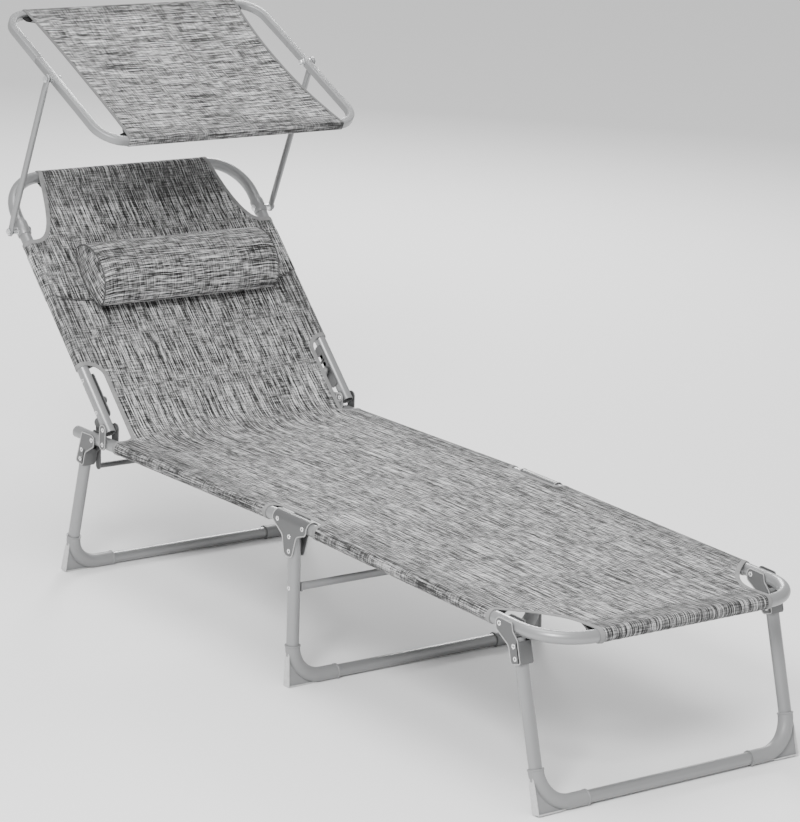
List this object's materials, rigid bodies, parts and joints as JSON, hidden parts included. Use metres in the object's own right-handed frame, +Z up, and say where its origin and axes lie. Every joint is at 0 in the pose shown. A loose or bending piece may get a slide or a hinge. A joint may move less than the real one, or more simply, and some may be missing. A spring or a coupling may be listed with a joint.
{
  "type": "sun lounger",
  "caption": "Folding steel-tube sun lounger with a grey sling, a reclining backrest on a notched stay, a bolster pillow and a tilting canopy on swinging arms.",
  "frame": {"origin": "middle of the lounger's footprint, on the floor", "axes": "+X across the lounger towards the sitter's left when they lie with the head at +Y, +Y from the foot end to the head end, +Z up"},
  "size_m": [0.6102, 1.6824, 1.008],
  "materials": {
    "frame_coat": "fine light-grey powder coat, satin",
    "bracket_coat": "mid-grey powder coat on stamped sheet, satin",
    "foot_plastic": "moulded light-grey plastic, matt",
    "rivet_steel": "bright zinc-plated steel",
    "sling_fabric": "grey melange polyester weave, matt"
  },
  "bodies": {
    "seat_section": {"seat_rail_left": "frame_coat", "seat_rail_right": "frame_coat", "rail_end_cap_left": "foot_plastic", "rail_end_cap_right": "foot_plastic", "hinge_plate_outer_left": "bracket_coat", "hinge_plate_outer_right": "bracket_coat", "hinge_plate_inner_left": "bracket_coat", "hinge_plate_inner_right": "bracket_coat", "hinge_pivot_left": "rivet_steel", "hinge_pivot_right": "rivet_steel", "stay_pivot_left": "rivet_steel", "stay_pivot_right": "rivet_steel", "seat_sling": "sling_fabric"},
    "middle_legs": {"saddle_left": "bracket_coat", "saddle_right": "bracket_coat", "seat_rail_pivot_left": "rivet_steel", "seat_rail_pivot_right": "rivet_steel", "foot_rail_pivot_left": "rivet_steel", "foot_rail_pivot_right": "rivet_steel", "middle_leg_frame": "frame_coat", "middle_foot_left": "foot_plastic", "middle_foot_right": "foot_plastic", "middle_brace": "frame_coat", "middle_sling": "sling_fabric"},
    "foot_section": {"foot_frame": "frame_coat", "foot_sling": "sling_fabric"},
    "front_legs": {"front_leg_frame": "frame_coat", "front_foot_left": "foot_plastic", "front_foot_right": "foot_plastic", "front_bracket_left": "bracket_coat", "front_bracket_right": "bracket_coat", "front_leg_pivot_left": "rivet_steel", "front_leg_pivot_right": "rivet_steel"},
    "rear_legs": {"rear_leg_frame": "frame_coat", "rear_foot_left": "foot_plastic", "rear_foot_right": "foot_plastic", "rear_bracket_left": "bracket_coat", "rear_bracket_right": "bracket_coat", "rear_leg_pivot_left": "rivet_steel", "rear_leg_pivot_right": "rivet_steel"},
    "backrest": {"backrest_tube_left": "frame_coat", "backrest_tube_right": "frame_coat", "backrest_bow": "frame_coat", "rack_left": "bracket_coat", "rack_right": "bracket_coat", "backrest_sling": "sling_fabric", "arm_bolt_left": "rivet_steel", "arm_bolt_right": "rivet_steel"},
    "stay": {"stay_arm_left": "bracket_coat", "stay_arm_right": "bracket_coat", "stay_crossbar": "frame_coat"},
    "canopy_arms": {"canopy_arm_left": "frame_coat", "canopy_arm_right": "frame_coat"},
    "canopy": {"canopy_ring_front": "frame_coat", "canopy_ring_rear": "frame_coat", "ring_bolt_left": "rivet_steel", "ring_bolt_right": "rivet_steel", "canopy_cloth": "sling_fabric"},
    "pillow": {"pillow_band": "sling_fabric", "pillow_bolster": "sling_fabric"}
  },
  "joints": [
    {"name": "middle_leg_fold", "type": "hinge", "parent": "seat_section", "child": "middle_legs", "pos_m": [0, -0.11236, 0.2895], "axis": [1, 0, 0], "range_deg": [0, 91.6]},
    {"name": "foot_section_fold", "type": "hinge", "parent": "middle_legs", "child": "foot_section", "pos_m": [0, -0.18336, 0.2895], "axis": [1, 0, 0], "range_deg": [0, 81]},
    {"name": "front_leg_fold", "type": "hinge", "parent": "foot_section", "child": "front_legs", "pos_m": [0, -0.71095, 0.28526], "axis": [1, 0, 0], "range_deg": [0, 108.2]},
    {"name": "rear_leg_fold", "type": "hinge", "parent": "seat_section", "child": "rear_legs", "pos_m": [0, 0.47046, 0.27526], "axis": [-1, 0, 0], "range_deg": [0, 101.5]},
    {"name": "backrest_hinge", "type": "hinge", "parent": "seat_section", "child": "backrest", "pos_m": [0, 0.43465, 0.30364], "axis": [1, 0, 0], "range_deg": [-45.6, 92]},
    {"name": "stay_swing", "type": "hinge", "parent": "seat_section", "child": "stay", "pos_m": [0, 0.49565, 0.29905], "axis": [-1, 0, 0], "range_deg": [0, 50]},
    {"name": "canopy_arm_swing", "type": "hinge", "parent": "backrest", "child": "canopy_arms", "pos_m": [0, 0.74829, 0.60865], "axis": [-1, 0, 0], "range_deg": [-45, 65.5]},
    {"name": "canopy_tilt", "type": "hinge", "parent": "canopy_arms", "child": "canopy", "pos_m": [0, 0.63907, 0.91369], "axis": [1, 0, 0], "range_deg": [-60, 60]},
    {"name": "pillow_slide", "type": "slide", "parent": "backrest", "child": "pillow", "axis": [0, 0.7169, 0.6972], "range_m": [-0.12, 0.015]}
  ]
}
